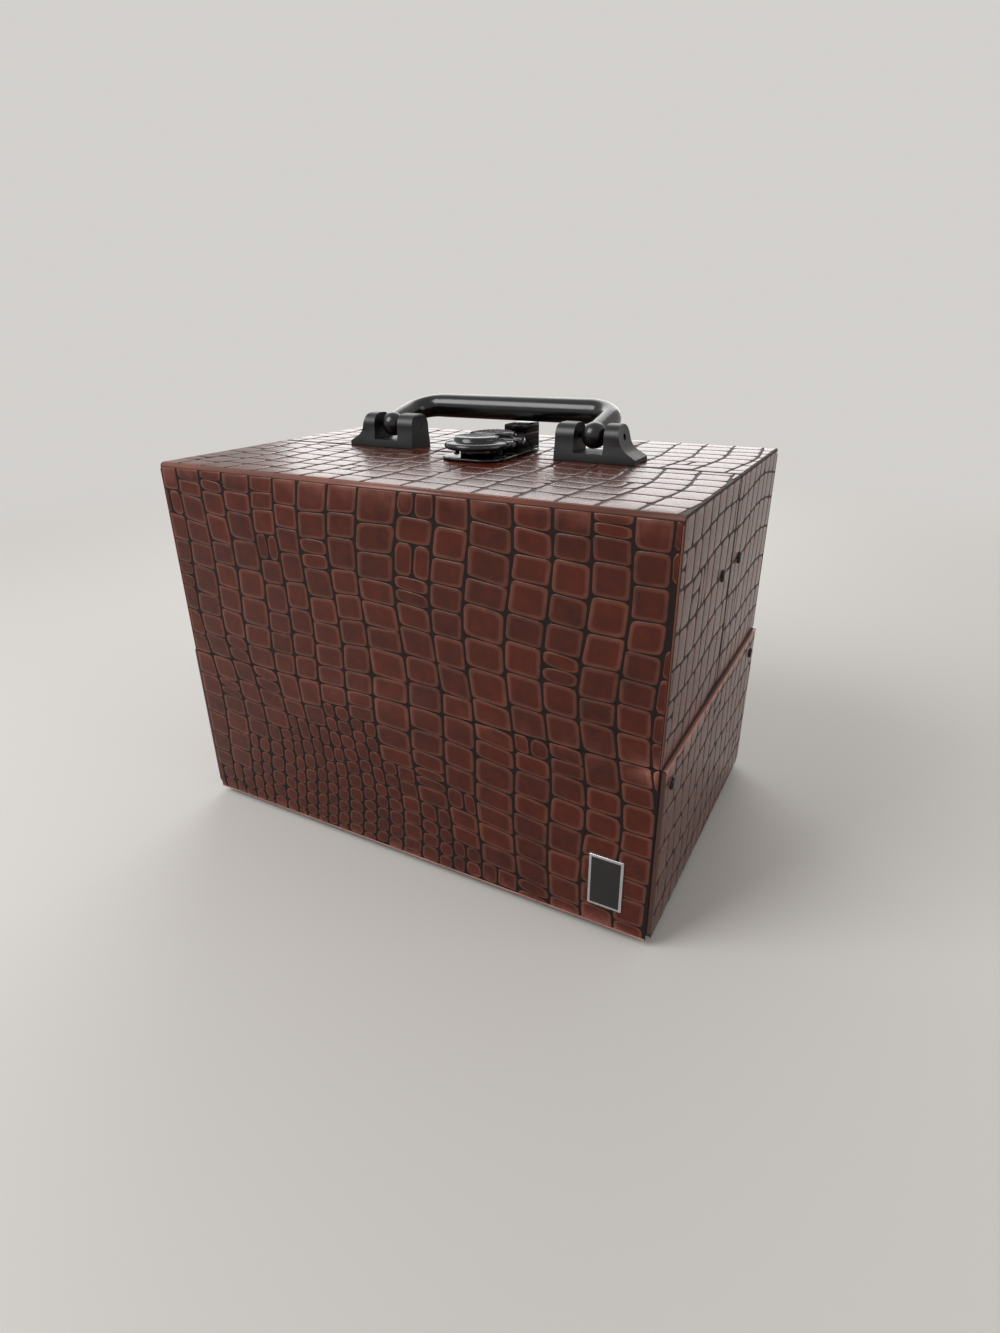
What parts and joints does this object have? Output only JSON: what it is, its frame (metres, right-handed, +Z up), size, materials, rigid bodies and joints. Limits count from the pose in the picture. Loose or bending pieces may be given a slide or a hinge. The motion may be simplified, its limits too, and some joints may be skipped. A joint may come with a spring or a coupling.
{
  "type": "makeup train case",
  "caption": "Boxy cosmetics case in glossy reptile-grain covering whose two half lids swing apart on their creases, lifting level trays on arms, with a folding handle and a flip latch on top",
  "frame": {"origin": "on the surface that the feet stand on, under the middle of the case", "axes": "+X to the right along the width, +Y to the rear, +Z up"},
  "size_m": [0.2562, 0.166, 0.208],
  "materials": {
    "covering": "glossy embossed reptile grain, reddish brown scales with dark grooves",
    "board": "hardboard lined with black fabric inside",
    "tray_plastic": "black moulded plastic with a fine grain",
    "gloss_black": "polished black plastic",
    "steel_strap": "black painted steel strap",
    "black_steel": "black lacquered rivet",
    "foot_rubber": "black rubber"
  },
  "bodies": {
    "base": {"base_floor": "board", "front_base_board": "board", "rear_base_board": "board", "base_end_left": "board", "base_end_right": "board", "front_base_cover": "covering", "rear_base_cover": "covering", "base_end_cover_left": "covering", "base_end_cover_right": "covering", "feet": "foot_rubber", "base_arm_rivets": "black_steel", "front_hinge_strip": "covering", "rear_hinge_strip": "covering"},
    "front_lid": {"front_lid_board": "board", "front_lid_top": "board", "front_lid_end_left": "board", "front_lid_end_right": "board", "front_lid_cover": "covering", "front_lid_end_cover_left": "covering", "front_lid_end_cover_right": "covering", "front_lid_rivets": "black_steel", "latch_plate": "gloss_black", "latch_pin": "black_steel"},
    "rear_lid": {"rear_lid_board": "board", "rear_lid_top": "board", "rear_lid_end_left": "board", "rear_lid_end_right": "board", "rear_lid_cover": "covering", "rear_lid_end_cover_left": "covering", "rear_lid_end_cover_right": "covering", "rear_lid_rivets": "black_steel", "latch_catch": "gloss_black", "handle_bracket_left": "gloss_black", "handle_bracket_right": "gloss_black", "handle_pins": "black_steel"},
    "front_tray": {"front_tray": "tray_plastic", "front_tray_rivets": "black_steel"},
    "rear_tray": {"rear_tray": "tray_plastic", "rear_tray_rivets": "black_steel"},
    "front_arms": {"front_arm_left": "steel_strap", "front_arm_right": "steel_strap"},
    "rear_arms": {"rear_arm_left": "steel_strap", "rear_arm_right": "steel_strap"},
    "handle": {"handle": "gloss_black"},
    "latch_lever": {"latch_lever": "gloss_black"}
  },
  "joints": [
    {"name": "front_lid_open", "type": "hinge", "parent": "base", "child": "front_lid", "pos_m": [0, -0.083, 0.088], "axis": [1, 0, 0], "range_deg": [0, 90], "deforming": ["front_hinge_strip"]},
    {"name": "rear_lid_open", "type": "hinge", "parent": "base", "child": "rear_lid", "pos_m": [0, 0.083, 0.088], "axis": [-1, 0, 0], "range_deg": [0, 90], "deforming": ["rear_hinge_strip"]},
    {"name": "front_tray_level", "type": "hinge", "parent": "front_lid", "child": "front_tray", "pos_m": [0, -0.0152, 0.145], "axis": [1, 0, 0], "range_deg": [-90, 0]},
    {"name": "rear_tray_level", "type": "hinge", "parent": "rear_lid", "child": "rear_tray", "pos_m": [0, 0.0152, 0.145], "axis": [-1, 0, 0], "range_deg": [-90, 0]},
    {"name": "front_arm_swing", "type": "hinge", "parent": "base", "child": "front_arms", "pos_m": [0, -0.072, 0.077], "axis": [1, 0, 0], "range_deg": [0, 90]},
    {"name": "rear_arm_swing", "type": "hinge", "parent": "base", "child": "rear_arms", "pos_m": [0, 0.072, 0.077], "axis": [-1, 0, 0], "range_deg": [0, 90]},
    {"name": "handle_swing", "type": "hinge", "parent": "rear_lid", "child": "handle", "pos_m": [0, 0.0092, 0.1948], "axis": [1, 0, 0], "range_deg": [0, 85]},
    {"name": "latch_lift", "type": "hinge", "parent": "front_lid", "child": "latch_lever", "pos_m": [0, -0.0045, 0.1903], "axis": [-1, 0, 0], "range_deg": [0, 80]}
  ],
  "couplings": [
    {"joint": "front_tray_level", "follows": "front_lid_open", "ratio": -1},
    {"joint": "front_arm_swing", "follows": "front_lid_open", "ratio": 1},
    {"joint": "rear_tray_level", "follows": "rear_lid_open", "ratio": -1},
    {"joint": "rear_arm_swing", "follows": "rear_lid_open", "ratio": 1}
  ]
}
